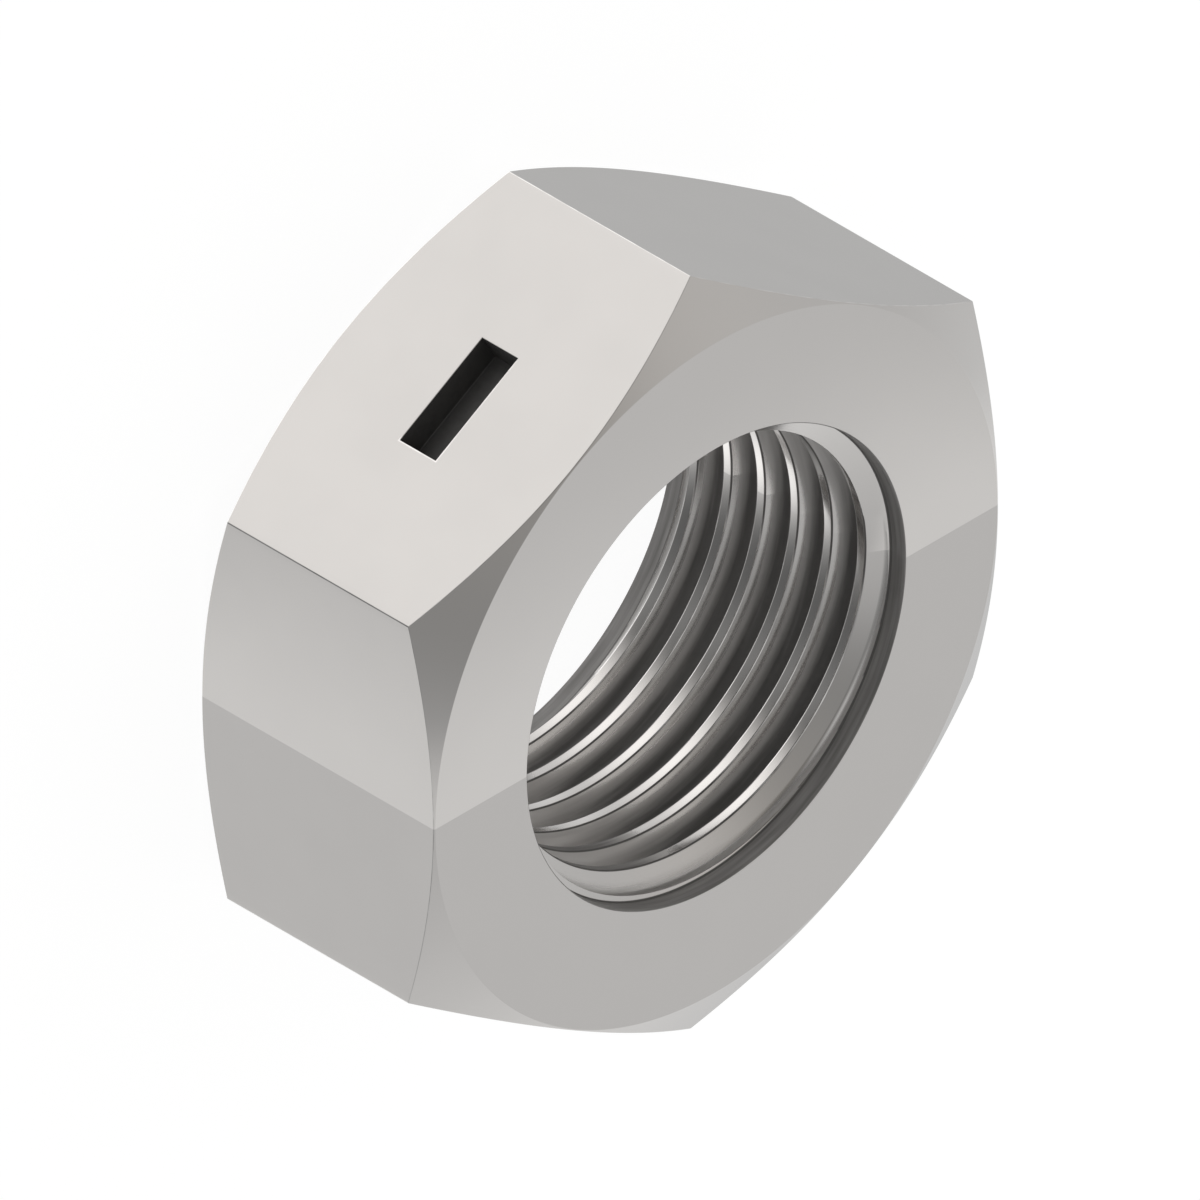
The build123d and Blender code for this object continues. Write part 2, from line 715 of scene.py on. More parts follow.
@dataclass(frozen=True)
class Hexagon:
    """The outside of the nut: six flats, with the corners turned down to a cone at both faces.

    Args:
        height: Thickness of the nut.
        flat_radius: Half the width across the flats.
        face_inset: How far the edge of the round face lies inside the flats.
        chamfer_angle: Slope of the cone from the face.
        sides: Number of flats.
        corner_round: Round on the upright edges.
        corner_steps: Straight steps of that round.
        rim_round: Round on the edges of the cone.
        face_steps: Straight steps of the round between the cone and the face.
        rim_steps: Straight steps of the round between the cone and a flat.
    """

    height: float
    flat_radius: float
    face_inset: float = 0.05 * MM
    chamfer_angle: float = 30.0
    sides: int = 6
    corner_round: float = 0.05 * MM
    corner_steps: int = 4
    rim_round: float = 0.03 * MM
    face_steps: int = 2
    rim_steps: int = 4

    @property
    def side_turn(self) -> float:
        """The turn from one flat to the next."""
        return FULL_TURN / self.sides

    @property
    def face_radius(self) -> float:
        """Radius of the round face."""
        return self.flat_radius - self.face_inset

    def corner_columns(self) -> list[Column]:
        """Rounds the upright edges.

        Returns:
            The columns of the rounds.
        """
        half_side = math.radians(self.side_turn / 2)
        centre = (self.flat_radius - self.corner_round) / math.cos(half_side)
        columns = []
        for side in range(self.sides):
            for step in range(self.corner_steps + 1):
                turn = half_side * (2 * step / self.corner_steps - 1)
                place = Vector((centre, 0, 0)) + outward(math.degrees(turn)) * self.corner_round
                lean = math.degrees(math.atan2(place.y, place.x))
                azimuth = (self.side_turn * (side + 0.5) + lean) % FULL_TURN
                columns.append(Column(azimuth, place.length, 0 < step < self.corner_steps))
        return columns

    def flat_column(self, azimuth: float) -> Column:
        """Returns the column on a flat at an azimuth."""
        lean = (azimuth + self.side_turn / 2) % self.side_turn - self.side_turn / 2
        return Column(azimuth % FULL_TURN, self.flat_radius / math.cos(math.radians(lean)))

    def rim_drop(self, radius: float) -> float:
        """Returns how far the cone has dropped from the face at a radius."""
        return (radius - self.face_radius) * math.tan(math.radians(self.chamfer_angle))


@dataclass(frozen=True)
class Pocket:
    """A straight-sided pocket, pressed into the middle of every second flat to grip the thread.

    Args:
        length: Length across the flat.
        width: Width along the axis.
        depth: Depth under the flat.
        spacing: Flats from one pocket to the next.
        rim_round: Round on the rim.
        highlight_strip: Width of the strip along the rim that carries a painted highlight at one
            end and one side.
        floor_round: Fillet around the floor.
        round_steps: Straight steps of each of the two rounds.
    """

    length: float = 4.00 * MM
    width: float = 1.50 * MM
    depth: float = 1.10 * MM
    spacing: int = 2
    rim_round: float = 0.02 * MM
    highlight_strip: float = 0.05 * MM
    floor_round: float = 0.03 * MM
    round_steps: int = 4

    @property
    def margin(self) -> float:
        """How far the rim reaches past the walls."""
        return self.rim_round + self.highlight_strip

    def rings(self) -> list[tuple[float, float, bool]]:
        """Sets out the rings that the pocket is built of.

        Returns:
            Each ring's inset from the opening, its depth, and if it is on the rim, from the
            first ring inside the opening to the floor.
        """
        quarter = math.pi / 2
        turns = [quarter * step / self.round_steps for step in range(self.round_steps + 1)]
        rim = [
            (self.highlight_strip + self.rim_round * math.sin(turn), self.rim_round * (1 - math.cos(turn)))
            for turn in turns
        ]
        wall_end = self.depth - self.floor_round
        floor = [
            (
                self.margin + self.floor_round * (1 - math.cos(turn)),
                wall_end + self.floor_round * math.sin(turn),
            )
            for turn in turns
        ]
        return [(*ring, True) for ring in rim] + [(*ring, False) for ring in floor]


@dataclass(frozen=True)
class PaintedBoreShade:
    """The painted shade in the bore, which darkens its grooves, fillets and mouth walls and dulls
    the steel there.

    Away from the azimuth where it is centred, the roots of the thread have less of it, and it
    lies on the flanks, along the edges of the crests and on the first crests too.

    Args:
        thread: The thread.
        mouth: The mouth at each face.
        height: Thickness of the nut.
        shade_centre: Azimuth around which the thread's painted shade is centred.
        root_turns: Turns away from it between which the cover of the roots falls.
        edge_turns: Turns away from it between which the cover of the crests' edges rises.
        flank_turns: Turns away from it between which the cover of the flanks rises.
        flank_depths: Depths in the thread between which the cover of the flanks rises.
        crest_turns: Turns away from it between which the cover of the first crests rises.
        crest_depths: Depths in the thread between which the cover of the crests falls.
        least: Cover of the roots far away from it.
        on_flanks: Cover of the flanks far away from it.
        on_crests: Cover of the first crests far away from it.
        in_mouth: Cover on the walls of the mouths.
        mouth_depth: Depth under a face where the thread's painted shade begins.
        mouth_fade: How much further down the painted shade is whole.
        mouth_root: Cover of the roots where they run out into a mouth.
    """

    thread: Thread
    mouth: Mouth
    height: float
    shade_centre: float = 202.0
    root_turns: Span = (35.0, 75.0)
    edge_turns: Span = (12.0, 38.0)
    flank_turns: Span = (28.0, 60.0)
    flank_depths: Span = (0.50 * MM, 0.90 * MM)
    crest_turns: Span = (44.0, 70.0)
    crest_depths: Span = (2.2 * MM, 3.2 * MM)
    least: float = 0.54
    on_flanks: float = 0.42
    on_crests: float = 0.80
    in_mouth: float = 0.74
    mouth_depth: float = 0.95 * MM
    mouth_fade: float = 0.35 * MM
    mouth_root: float = 0.40

    def cover(self, spot: Spot, azimuth: float) -> float:
        """Finds how much painted shade lies at a point of the section.

        Args:
            spot: The point.
            azimuth: Its azimuth.

        Returns:
            The cover, from nought to one.
        """
        if not spot.in_thread:
            return self.mouth_cover(spot)
        aside = abs((azimuth - self.shade_centre + FULL_TURN / 2) % FULL_TURN - FULL_TURN / 2)
        if spot.wear_and_highlight:
            return eased(aside, *self.edge_turns)
        crest_radius = self.thread.crest_radius
        deep = (spot.radius - crest_radius) / (self.thread.root_radius - crest_radius)
        inside = min(spot.level, self.height - spot.level) - self.mouth_depth
        whole = eased(inside, 0.0, self.mouth_fade)
        if spot.radius < crest_radius + WELD_DISTANCE:
            shallow = 1 - eased(inside, *self.crest_depths)
            return self.on_crests * eased(aside, *self.crest_turns) * whole * shallow
        root = deep * whole * (1 - eased(aside, *self.root_turns) * (1 - self.least))
        flank = eased(aside, *self.flank_turns) * eased(inside, *self.flank_depths)
        return max(root, self.on_flanks * flank) + self.mouth_root * deep**3 * (1 - whole)

    def mouth_cover(self, spot: Spot) -> float:
        """Finds how much painted shade lies at a point that isn't on the thread.

        Args:
            spot: The point.

        Returns:
            The cover: whole in the fillet of a mouth, thinner on its wall and on the round of
            its edge, and none on its cone or outside.
        """
        mouth = self.mouth
        cone_radius = mouth.radius - mouth.fillet * (1 - math.sin(math.radians(mouth.cone_angle)))
        if spot.radius < mouth.radius - WELD_DISTANCE:
            return eased(spot.radius, cone_radius, (cone_radius + mouth.radius) / 2)
        edge_end = mouth.radius + mouth.edge_round - WELD_DISTANCE
        return self.in_mouth if spot.radius < edge_end else 0.0


@dataclass(frozen=True)
class NutBody:
    """The whole nut, as one skin of columns around the axis and rings along its section.

    Args:
        thread: The thread.
        mouth: The mouth at each face.
        hexagon: The outside.
        pocket: The pockets.
        painted_shade: The painted shade in the bore.
        plain_columns: Columns around the nut, before the ones for edges and pockets.
        crowding: Least turn from a plain column to one of those.
        sharp_angle: Turn between two faces from which their edge stays sharp.
        search_step: Longest step in the search for where a mouth meets the thread.
        name: Name of the piece.
    """

    thread: Thread
    mouth: Mouth
    hexagon: Hexagon
    pocket: Pocket
    painted_shade: PaintedBoreShade
    plain_columns: int = 360
    crowding: float = 0.3
    sharp_angle: float = 28.0
    search_step: float = 0.02 * MM
    name: str = "nut_body"

    def pocket_sides(self) -> list[Span]:
        """Finds the two ends of each pocket's opening.

        Returns:
            The azimuths of the ends.
        """
        half_length = self.pocket.length / 2 + self.pocket.margin
        lean = math.degrees(math.atan2(half_length, self.hexagon.flat_radius))
        flats = range(0, self.hexagon.sides, self.pocket.spacing)
        middles = [flat * self.hexagon.side_turn for flat in flats]
        return [(middle - lean, middle + lean) for middle in middles]

    def columns(self) -> list[Column]:
        """Sets out the columns of the skin.

        Returns:
            The columns by rising azimuth, once around and with the first again at the end.
        """
        shell = self.hexagon
        fixed = shell.corner_columns()
        fixed += [shell.flat_column(azimuth) for side in self.pocket_sides() for azimuth in side]
        turns = [FULL_TURN * step / self.plain_columns for step in range(self.plain_columns)]
        plain = [
            shell.flat_column(azimuth)
            for azimuth in turns
            if all(abs(azimuth - column.azimuth) > self.crowding for column in fixed)
        ]
        columns = sorted(fixed + plain, key=lambda column: column.azimuth)
        return columns + [replace(columns[0], azimuth=FULL_TURN)]

    def outside(self, flat_radius: float) -> list[Spot]:
        """Rounds the corners of the outside.

        Args:
            flat_radius: Radius of the flat at this azimuth.

        Returns:
            The section from the upper mouth over the flat to the lower one.
        """
        shell, mouth, pocket = self.hexagon, self.mouth, self.pocket
        top = shell.height
        rim_level = top - shell.rim_drop(flat_radius)
        opening_end = top / 2 + pocket.width / 2 + pocket.margin
        upper = [
            Corner(mouth.radius, top - mouth.wall_depth),
            Corner(mouth.radius, top, mouth.edge_round, mouth.edge_steps, wear_and_highlight=True),
            Corner(shell.face_radius, top, shell.rim_round, shell.face_steps),
            Corner(flat_radius, rim_level, shell.rim_round, shell.rim_steps, wear_and_highlight=True),
            Corner(flat_radius, opening_end),
        ]
        lower = [replace(corner, level=top - corner.level) for corner in reversed(upper)]
        return rounded(upper + lower)

    def crossing(self, azimuth: float, upper: bool) -> Spot:
        """Finds where a mouth meets the thread.

        Args:
            azimuth: Azimuth of the column.
            upper: True for the upper mouth.

        Returns:
            The point, with its depth from the face as its level.
        """
        section = divided(self.mouth.section(), self.search_step)
        gap_before, spot_before = -1.0, section[0]
        for spot in section:
            level = self.hexagon.height - spot.level if upper else spot.level
            gap = self.thread.radius_at(level, azimuth) - spot.radius
            if gap >= 0:
                share = gap_before / (gap_before - gap) if gap > gap_before else 0.0
                return between(spot_before, spot, share)
            gap_before, spot_before = gap, spot
        return section[-1]

    def inside(self, azimuth: float) -> list[Spot]:
        """Joins the mouths and the thread at an azimuth.

        Args:
            azimuth: Azimuth of the column.

        Returns:
            The section of the bore from the lower mouth to the upper one. Points that a mouth
            cuts off lie where it meets the thread.
        """
        height = self.hexagon.height
        low, high = self.crossing(azimuth, upper=False), self.crossing(azimuth, upper=True)
        relief = self.mouth.section()
        lower = [spot if spot.level < low.level else low for spot in relief]
        upper = [spot if spot.level < high.level else high for spot in reversed(relief)]
        upper = [replace(spot, level=height - spot.level) for spot in upper]
        high = replace(high, level=height - high.level)
        turns = math.ceil(height / 2 / self.thread.pitch)
        wall = []
        for turn in range(2 * turns):
            start = self.thread.first_level(azimuth, turns - turn)
            for spot in self.thread.one_pitch:
                level = start + spot.level
                if level <= low.level:
                    wall.append(low)
                elif level >= high.level:
                    wall.append(high)
                else:
                    wall.append(replace(spot, level=level, in_thread=True))
        return lower + wall + upper

    def build(self) -> Object:
        """Builds the nut's mesh.

        Returns:
            The finished object, with its masks for edges brightened by wear and a painted
            highlight, and for painted shade.
        """
        skin = bmesh.new()
        for mask in Mask:
            skin.verts.layers.float.new(mask.value)
        columns = self.columns()
        rings = [self.column_ring(skin, column) for column in columns]
        self.join_columns(skin, columns, rings)
        bmesh.ops.remove_doubles(skin, verts=skin.verts, dist=WELD_DISTANCE)
        bmesh.ops.dissolve_degenerate(skin, edges=skin.edges, dist=WELD_DISTANCE)
        mesh = bpy.data.meshes.new(self.name)
        skin.to_mesh(mesh)
        skin.free()
        self.smooth(mesh)
        return linked(self.name, mesh, Matrix())

    def column_ring(self, skin: BMesh, column: Column) -> Ring:
        """Adds the points of one column, up the bore and down the outside.

        Args:
            skin: The mesh that is being built.
            column: The column.

        Returns:
            Its points in order, the same number in every column.
        """
        wear_and_highlight, shade_layer = (skin.verts.layers.float[mask.value] for mask in (Mask.WEAR_AND_HIGHLIGHT, Mask.PAINTED_SHADE))
        direction = outward(column.azimuth)
        ring = []
        for spot in self.inside(column.azimuth) + self.outside(column.flat_radius):
            vertex = skin.verts.new(direction * spot.radius + Vector((0, 0, spot.level)))
            upright = column.on_edge and spot.radius > column.flat_radius - WELD_DISTANCE
            # Painted shade in the bore; edges brightened by wear and a painted highlight where
            # there is none.
            vertex[shade_layer] = self.painted_shade.cover(spot, column.azimuth)
            vertex[wear_and_highlight] = 1.0 - vertex[shade_layer] if spot.wear_and_highlight or upright else 0.0
            ring.append(vertex)
        return ring

    def join_columns(
        self, skin: BMesh, columns: Sequence[Column], rings: Sequence[Ring]
    ) -> None:
        """Joins neighbouring columns with faces, and builds the pockets where they open.

        Args:
            skin: The mesh that is being built.
            columns: The columns.
            rings: The points of each column.
        """
        above_opening = self.place_above_opening()
        openings = self.pocket_sides()
        opened: dict[int, list[int]] = {}
        for place, (near, far) in enumerate(zip(rings, rings[1:])):
            middle = (columns[place].azimuth + columns[place + 1].azimuth) / 2
            inside = [self.is_between(middle, ends) for ends in openings]
            for point in range(len(near)):
                after = (point + 1) % len(near)
                if point == above_opening and any(inside):
                    opened.setdefault(inside.index(True), []).append(place)
                else:
                    skin.faces.new((near[point], near[after], far[after], far[point]))
        for opening, places in opened.items():
            places = self.in_order(places)
            across = [rings[place] for place in places] + [rings[places[-1] + 1]]
            upper = [ring[above_opening] for ring in across]
            lower = [ring[above_opening + 1] for ring in across]
            self.sink_pocket(skin, lower + upper[::-1], sum(openings[opening]) / 2)

    def place_above_opening(self) -> int:
        """Returns the place in a column of its last point above the pockets' openings."""
        rounds = (self.mouth.edge_steps, self.hexagon.face_steps, self.hexagon.rim_steps)
        return len(self.inside(0.0)) + sum(steps + 1 for steps in rounds)

    @staticmethod
    def is_between(azimuth: float, ends: Span) -> bool:
        """Returns True if an azimuth is between two ends, which may lie either side of nought."""
        half = (ends[1] - ends[0]) / 2
        return abs((azimuth - ends[0] - half + FULL_TURN / 2) % FULL_TURN - FULL_TURN / 2) < half

    @staticmethod
    def in_order(places: list[int]) -> list[int]:
        """Returns a pocket's columns in order, also where they run on past the first column."""
        breaks = [step for step in range(1, len(places)) if places[step] != places[step - 1] + 1]
        return places[breaks[0] :] + places[: breaks[0]] if breaks else places

    def sink_pocket(self, skin: BMesh, opening: Ring, azimuth: float) -> None:
        """Builds the rim, the walls and the floor of one pocket.

        Args:
            skin: The mesh that is being built.
            opening: The points of the opening, along its lower side and back along its upper one.
            azimuth: Azimuth of the middle of the flat.
        """
        wear_and_highlight = skin.verts.layers.float[Mask.WEAR_AND_HIGHLIGHT.value]
        pocket, middle = self.pocket, self.hexagon.height / 2
        out = outward(azimuth)
        along = Vector((-out.y, out.x, 0))
        half_length = pocket.length / 2 + pocket.margin
        half_width = pocket.width / 2 + pocket.margin
        bright_share = 1 - pocket.highlight_strip / half_length
        spots = [(point.co.dot(along) / half_length, point.co.z > middle) for point in opening]
        previous = opening
        for inset, depth, on_rim in pocket.rings():
            ring = []
            for share, above in spots:
                level = middle + (half_width - inset) * (1 if above else -1)
                place = out * (self.hexagon.flat_radius - depth) + Vector((0, 0, level))
                vertex = skin.verts.new(place + along * share * (half_length - inset))
                # A painted highlight along the upper side and one end of the pocket's rim.
                bright = inset < pocket.margin and (above or share > bright_share)
                vertex[wear_and_highlight] = 1.0 if bright else 0.0
                ring.append(vertex)
            self.join_rings(skin, previous, ring, Zone.MACHINED if on_rim else Zone.POCKET)
            previous = ring
        half = len(previous) // 2
        lower, upper = previous[:half], previous[half:][::-1]
        for corners in zip(lower, lower[1:], upper[1:], upper):
            skin.faces.new(corners).material_index = Zone.POCKET.value

    @staticmethod
    def join_rings(skin: BMesh, outer: Ring, inner: Ring, zone: Zone) -> None:
        """Joins two closed rings of a pocket with faces.

        Args:
            skin: The mesh that is being built.
            outer: The points of the one nearer to the opening.
            inner: The points of the other.
            zone: The zone of the faces.
        """
        for place in range(len(outer)):
            after = (place + 1) % len(outer)
            face = skin.faces.new((outer[place], outer[after], inner[after], inner[place]))
            face.material_index = zone.value

    def smooth(self, mesh: Mesh) -> None:
        """Shades the mesh smooth over its rounds and flat over its flats.

        Each corner takes the mean normal of the faces around it that turn less than the sharp
        angle from its own face, weighted by their areas.

        Args:
            mesh: The finished mesh.
        """
        around: list[list[Vector]] = [[] for _ in mesh.vertices]
        for face in mesh.polygons:
            for vertex in face.vertices:
                around[vertex].append(face.normal * face.area)
        least = math.cos(math.radians(self.sharp_angle))
        normals = [Vector((0, 0, 1))] * len(mesh.loops)
        for face in mesh.polygons:
            for corner in face.loop_indices:
                near = around[mesh.loops[corner].vertex_index]
                joined = [other for other in near if other.dot(face.normal) > least * other.length]
                normals[corner] = sum(joined, face.normal * 0.0).normalized()
        mesh.shade_smooth()
        mesh.normals_split_custom_set(normals)

    def dress(self, piece: Object) -> None:
        """Gives each zone of the nut its finish.

        Args:
            piece: The finished nut.
        """
        for zone in Zone:
            piece.data.materials.append(FINISHES[zone].material())
            log.info("finish %s is in slot %d", FINISHES[zone].name, zone.value)


def linked(name: str, data: ID, placed: Matrix) -> Object:
    """Puts a mesh or a camera into the scene.

    Args:
        name: Name of its object.
        data: The mesh or the camera.
        placed: Where the object goes.

    Returns:
        The object.
    """
    made = bpy.data.objects.new(name, data)
    made.matrix_world = placed
    bpy.context.scene.collection.objects.link(made)
    return made


def sheet(name: str, size: float, placed: Matrix) -> Object:
    """Builds a flat square that belongs to the studio.

    Args:
        name: Name of its object.
        size: Width of the square.
        placed: Where it goes.

    Returns:
        The object.
    """
    half = size / 2
    corners = [(-half, -half, 0), (half, -half, 0), (half, half, 0), (-half, half, 0)]
    mesh = bpy.data.meshes.new(name)
    mesh.from_pydata(corners, [], [(0, 1, 2, 3)])
    made = linked(name, mesh, placed)
    return made


def to_row(direction: Sequence[float]) -> Vector:
    """Returns a direction given by the studio's axes, by the nut's own."""
    return Matrix.Rotation(math.radians(STUDIO_TURN), 3, "Z") @ Vector(direction)


@dataclass(frozen=True)
class StudioCamera:
    """The camera, which looks at the nut along the diagonal of the studio's axes.

    Args:
        picture_width: Width of what it sees.
        distance: Its distance from the nut.
    """

    picture_width: float = 35.79 * MM
    distance: float = 0.25

    def build(self, middle: Vector) -> Object:
        """Builds the camera.

        Args:
            middle: The middle of the nut.

        Returns:
            The camera.
        """
        data = bpy.data.cameras.new("camera")
        data.type = "ORTHO"
        data.ortho_scale = self.picture_width
        right = to_row((1, 0, 1)).normalized()
        back = to_row((-1, 1, 1)).normalized()
        turned = Matrix((right, back.cross(right), back)).transposed().to_4x4()
        placed = Matrix.Translation(middle + back * self.distance) @ turned
        camera = linked("camera", data, placed)
        bpy.context.scene.camera = camera
        return camera


@dataclass(frozen=True)
class Floor:
    """The white floor, which keeps a soft shadow of the nut and isn't mirrored in it.

    From below it is clear, so that the nut's lower face can be looked at.

    Args:
        size: Width of the floor.
        gap: How far it lies under the nut, so that the two never share a plane.
        glow: Level of its own light, which makes it white.
        shade: Share of it that takes the nut's shadow.
    """

    size: float = 0.8
    gap: float = 0.01 * MM
    glow: float = 0.94
    shade: float = 0.13

    def build(self) -> Object:
        """Builds the floor.

        Returns:
            The floor.
        """
        floor = sheet("floor", self.size, Matrix.Translation((0, 0, -self.gap)))
        floor.visible_glossy = False
        white = bpy.data.materials.new("white_floor")
        wiring = cleared(white)
        glow = wiring.add("ShaderNodeEmission", {"Strength": self.glow})
        shade = wiring.add("ShaderNodeBsdfDiffuse", {"Color": (self.shade,) * 3 + (1,)})
        above = wiring.add("ShaderNodeAddShader", {0: glow.outputs[0], 1: shade.outputs[0]})
        below = wiring.add("ShaderNodeBsdfTransparent")
        from_below = wiring.add("ShaderNodeNewGeometry").outputs["Backfacing"]
        fed = {0: from_below, 1: above.outputs[0], 2: below.outputs[0]}
        sides = wiring.add("ShaderNodeMixShader", fed)
        wiring.add("ShaderNodeOutputMaterial", {"Surface": sides.outputs[0]})
        floor.data.materials.append(white)
        return floor


@dataclass(frozen=True)
class SideCard:
    """The clear card level with the axis, which glows beside the nut.

    Only the nut's gloss sees the glow, and only from above. Places on the card are given by how
    far they are along the bore from the middle of the nut, and aside from the axis.

    Args:
        height: Thickness of the nut.
        nut_radius: Half the width of the nut across its flats.
        bore_radius: Radius of the bore at its mouth.
        size: Width of the card.
        glow: Level of the glow at the nut.
        tint: Colour of the glow.
        falling: How steeply the glow falls at the nut.
        reach: Distance from the nut at which it ends.
        edge_on: How edge on the card is met where its glow fades and where it has gone, so that
            it leaves no line across the nut.
        bore_start: Distances aside between which the glow becomes that in front of the bore.
        bore_margin: Distance from the bore's wall over which it becomes the usual one again.
        before_face: Distances in front of the upper face between which it does so too.
        bore_depths: Depths in the bore between which the glow is whole and gone.
        bore_gain: How much stronger the glow is deep in the bore.
    """

    height: float
    nut_radius: float
    bore_radius: float
    size: float = 0.4
    glow: float = 0.184
    tint: Colour = (1.0, 0.985, 0.97)
    falling: float = 1.4
    reach: float = 12.5 * MM
    edge_on: Span = (0.88, 0.96)
    bore_start: Span = (2.0 * MM, 4.0 * MM)
    bore_margin: float = 0.8 * MM
    before_face: Span = (3.0 * MM, 5.0 * MM)
    bore_depths: Span = (6.0 * MM, 3.5 * MM)
    bore_gain: float = 1.6

    def falling_glow(self, wiring: Wiring) -> NodeSocket:
        """Wires how the glow falls away from the nut.

        Args:
            wiring: The wiring of the card's material.

        Returns:
            The socket of its share.
        """
        spread = wiring.vector("ABSOLUTE", wiring.place()).outputs["Vector"]
        sides = (self.height / 2, self.nut_radius, 0.0)
        beside = wiring.vector("SUBTRACT", spread, sides).outputs["Vector"]
        outside = wiring.vector("MAXIMUM", beside, (0.0, 0.0, 0.0)).outputs["Vector"]
        away = wiring.vector("LENGTH", outside).outputs["Value"]
        near = wiring.ramp(away, (0.0, self.reach), (1.0, 0.0))
        return wiring.math("POWER", near, self.falling)

    def bore_share(self, wiring: Wiring) -> NodeSocket:
        """Wires how much stronger or weaker the glow is in the bore and in front of it.

        Args:
            wiring: The wiring of the card's material.

        Returns:
            The socket of the factor, which is one elsewhere.
        """
        place = wiring.add("ShaderNodeSeparateXYZ", {"Vector": wiring.place()}).outputs
        along, aside, top = place["X"], place["Y"], self.height / 2
        wall = (self.bore_radius - self.bore_margin, self.bore_radius)
        front = tuple(top + distance for distance in self.before_face)
        depths = tuple(top - depth for depth in self.bore_depths)
        started = wiring.ramp(aside, self.bore_start)
        in_bore = wiring.math("MULTIPLY", started, wiring.ramp(aside, wall, (1.0, 0.0)))
        in_line = wiring.math("MULTIPLY", in_bore, wiring.ramp(along, front, (1.0, 0.0)))
        gain = wiring.ramp(along, depths, (self.bore_gain - 1.0, -1.0))
        return wiring.math("MULTIPLY_ADD", in_line, gain, 1.0)

    def build(self, middle: Vector) -> Object:
        """Builds the card.

        Args:
            middle: The middle of the nut.

        Returns:
            The card.
        """
        sides = (to_row((0, 0, 1)), to_row((1, 0, 0)), to_row((0, 1, 0)))
        turned = Matrix(sides).transposed().to_4x4()
        card = sheet("side_card", self.size, Matrix.Translation(middle) @ turned)
        card.visible_camera = False
        card.visible_diffuse = False
        card.visible_transmission = False
        card.visible_shadow = False
        paper = bpy.data.materials.new("side_card")
        wiring = cleared(paper)
        share = wiring.math("MULTIPLY", self.falling_glow(wiring), self.bore_share(wiring))
        from_below = wiring.add("ShaderNodeNewGeometry").outputs["Backfacing"]
        met = wiring.add("ShaderNodeLayerWeight").outputs["Facing"]
        seen = wiring.math(
            "MULTIPLY",
            wiring.math("SUBTRACT", 1.0, from_below),
            wiring.ramp(met, self.edge_on, (1.0, 0.0)),
        )
        level = wiring.math("MULTIPLY", wiring.math("MULTIPLY", share, seen), self.glow)
        fed = {"Color": (*self.tint, 1), "Strength": level}
        glow = wiring.add("ShaderNodeEmission", fed)
        clear = wiring.add("ShaderNodeBsdfTransparent")
        both = wiring.add("ShaderNodeAddShader", {0: glow.outputs[0], 1: clear.outputs[0]})
        wiring.add("ShaderNodeOutputMaterial", {"Surface": both.outputs[0]})
        card.data.materials.append(paper)
        return card


@dataclass(frozen=True)
class SoftLight:
    """A soft lamp, or a soft dark screen, in what surrounds the nut.

    Args:
        toward: Direction of its middle, by the studio's axes.
        amount: Level that it adds there, or takes away where it is below nought.
        tightness: How tight it is around its middle.
        tint: Its tint.
    """

    toward: tuple[float, float, float]
    amount: float
    tightness: float
    tint: Colour = (1.0, 1.0, 1.0)


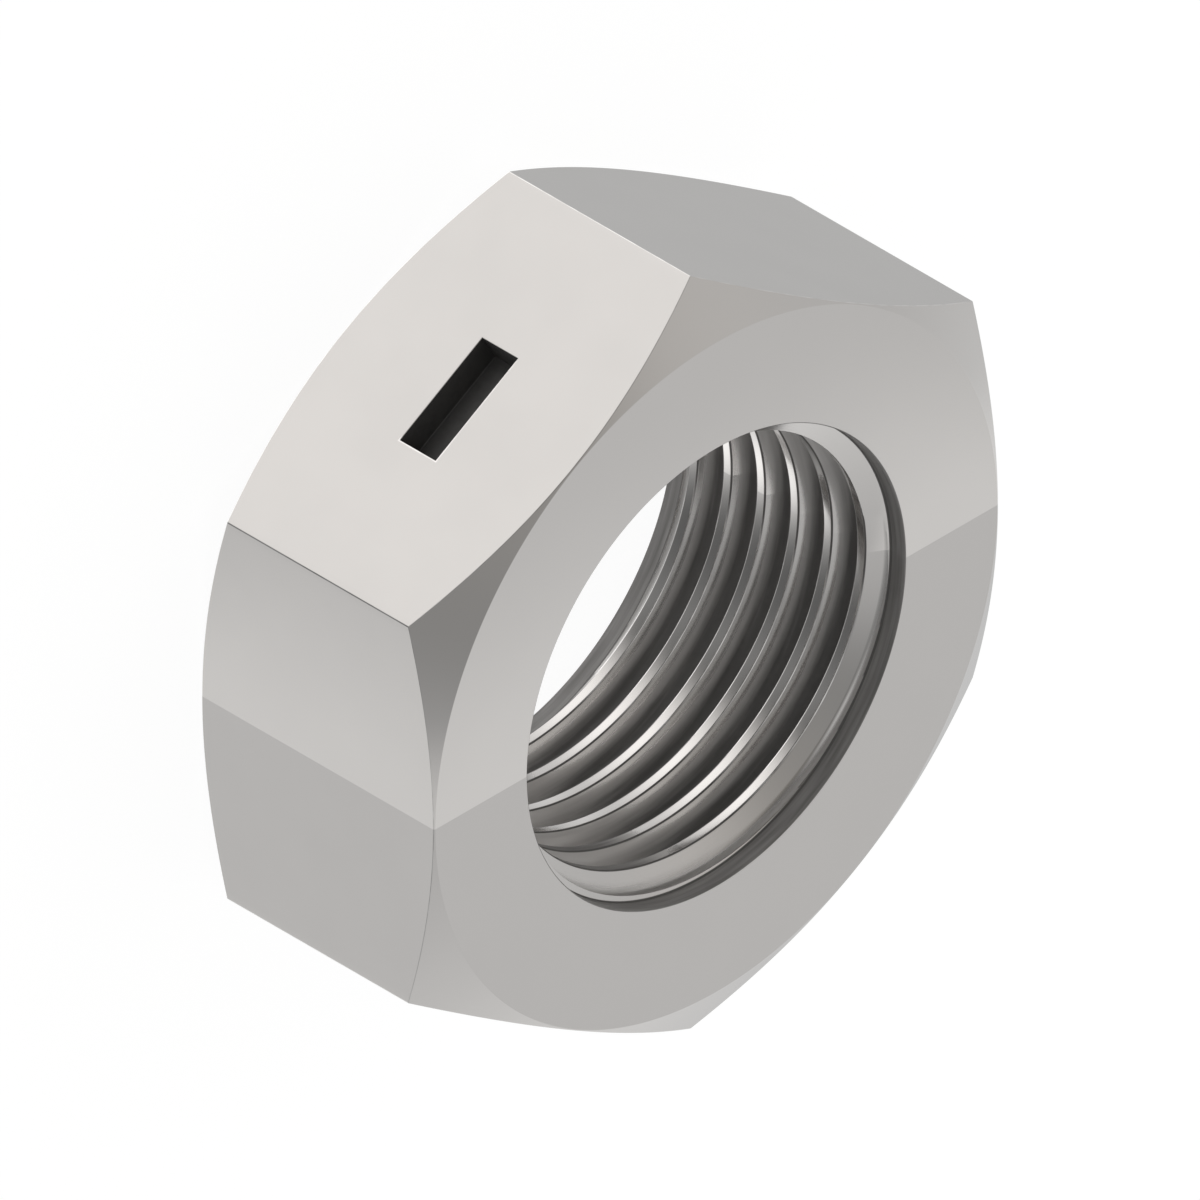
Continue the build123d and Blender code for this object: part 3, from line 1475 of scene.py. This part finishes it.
@dataclass(frozen=True)
class Surroundings:
    """The soft light all around, which the camera itself sees as plain white.

    Args:
        ambient: Colour of the surroundings where no lamp and no screen is.
        lights: The soft lamps and screens.
    """

    ambient: Colour = (0.588, 0.590, 0.590)
    lights: tuple[SoftLight, ...] = (
        SoftLight((0.06, 0.76, -0.65), amount=1.00, tightness=10.2, tint=(1.015, 1.0, 0.985)),
        SoftLight((0.64, 0.29, -0.71), amount=0.52, tightness=41.8),
        SoftLight((0.32, 0.50, 0.80), amount=0.47, tightness=5.0, tint=(1.04, 1.0, 0.95)),
        SoftLight((0.41, -0.81, 0.41), amount=0.98, tightness=5.4),
        SoftLight((-0.35, -0.64, -0.68), amount=1.00, tightness=24.0),
        SoftLight((-0.66, 0.46, 0.59), amount=0.78, tightness=9.4),
        SoftLight((-0.92, -0.17, -0.34), amount=-0.43, tightness=2.3),
        SoftLight((-0.53, 0.68, -0.50), amount=-0.29, tightness=45.2),
        SoftLight((0.40, -0.78, 0.49), amount=-0.80, tightness=9.8),
        SoftLight((-0.26, 0.59, 0.76), amount=-0.80, tightness=2.6),
        SoftLight((-0.21, 0.79, -0.58), amount=0.075, tightness=30.0, tint=(1.10, 1.0, 0.92)),
        SoftLight((0.15, 0.16, -0.975), amount=1.20, tightness=14.0),
        SoftLight((-0.25, -0.47, 0.85), amount=0.10, tightness=30.0),
        SoftLight((-0.10, 0.08, 0.99), amount=0.07, tightness=40.0),
        SoftLight((0.57, -0.80, -0.20), amount=-0.07, tightness=14.0),
    )

    def build(self) -> World:
        """Builds the surroundings.

        Returns:
            The scene's world.
        """
        world = bpy.data.worlds.new("surroundings")
        wiring = cleared(world)
        direction = wiring.add("ShaderNodeTexCoord").outputs["Generated"]
        total: object = self.ambient
        for light in self.lights:
            toward = to_row(light.toward).normalized()
            facing = wiring.vector("DOT_PRODUCT", direction, toward).outputs["Value"]
            aside = wiring.math("MULTIPLY_ADD", facing, light.tightness, -light.tightness)
            share = wiring.math("EXPONENT", aside)
            colour = [level * light.amount for level in light.tint]
            total = wiring.vector("MULTIPLY_ADD", share, colour, total).outputs["Vector"]
        lit = wiring.vector("MAXIMUM", total).outputs["Vector"]
        to_camera = wiring.add("ShaderNodeLightPath").outputs["Is Camera Ray"]
        seen = wiring.blend(to_camera, lit, (1, 1, 1, 1))
        background = wiring.add("ShaderNodeBackground", {"Color": seen})
        wiring.add("ShaderNodeOutputWorld", {"Surface": background.outputs["Background"]})
        bpy.context.scene.world = world
        return world


def packed_nut() -> NutBody:
    """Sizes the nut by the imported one.

    Returns:
        The nut, which is still to be built.
    """
    low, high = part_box(NODE)
    height = high.z - low.z
    bore = next(mount for mount in frame["record"]["mounts"] if mount["name"] == "thread")
    thread = Thread(crest_radius=bore["dims"]["r_mm"] * MM, middle_level=height / 2)
    mouth = Mouth(thread)
    hexagon = Hexagon(height, flat_radius=high.x)
    return NutBody(thread, mouth, hexagon, Pocket(), PaintedBoreShade(thread, mouth, height))


def build_studio(nut: NutBody) -> None:
    """Builds the camera, the floor, the side card and the surroundings.

    Args:
        nut: The nut, for its sizes.
    """
    height = nut.hexagon.height
    middle = Vector((0, 0, height / 2))
    card = SideCard(height, nut.hexagon.flat_radius, nut.mouth.radius)
    built = [StudioCamera().build(middle), Floor().build(), card.build(middle)]
    for part in (*built, Surroundings().build()):
        log.info("studio has %s", part.name)
    bpy.context.scene.view_settings.view_transform = "Standard"


def main() -> None:
    """Builds the nut and the studio around it."""
    logging.basicConfig(level=logging.INFO, format="%(name)s: %(message)s")
    nut = packed_nut()
    piece = nut.build()
    nut.dress(piece)
    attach(piece, "root")
    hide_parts(NODE)
    triangles = sum(len(face.vertices) - 2 for face in piece.data.polygons)
    log.info("piece %s has %d triangles", piece.name, triangles)
    build_studio(nut)


if __name__ == "__main__":
    main()
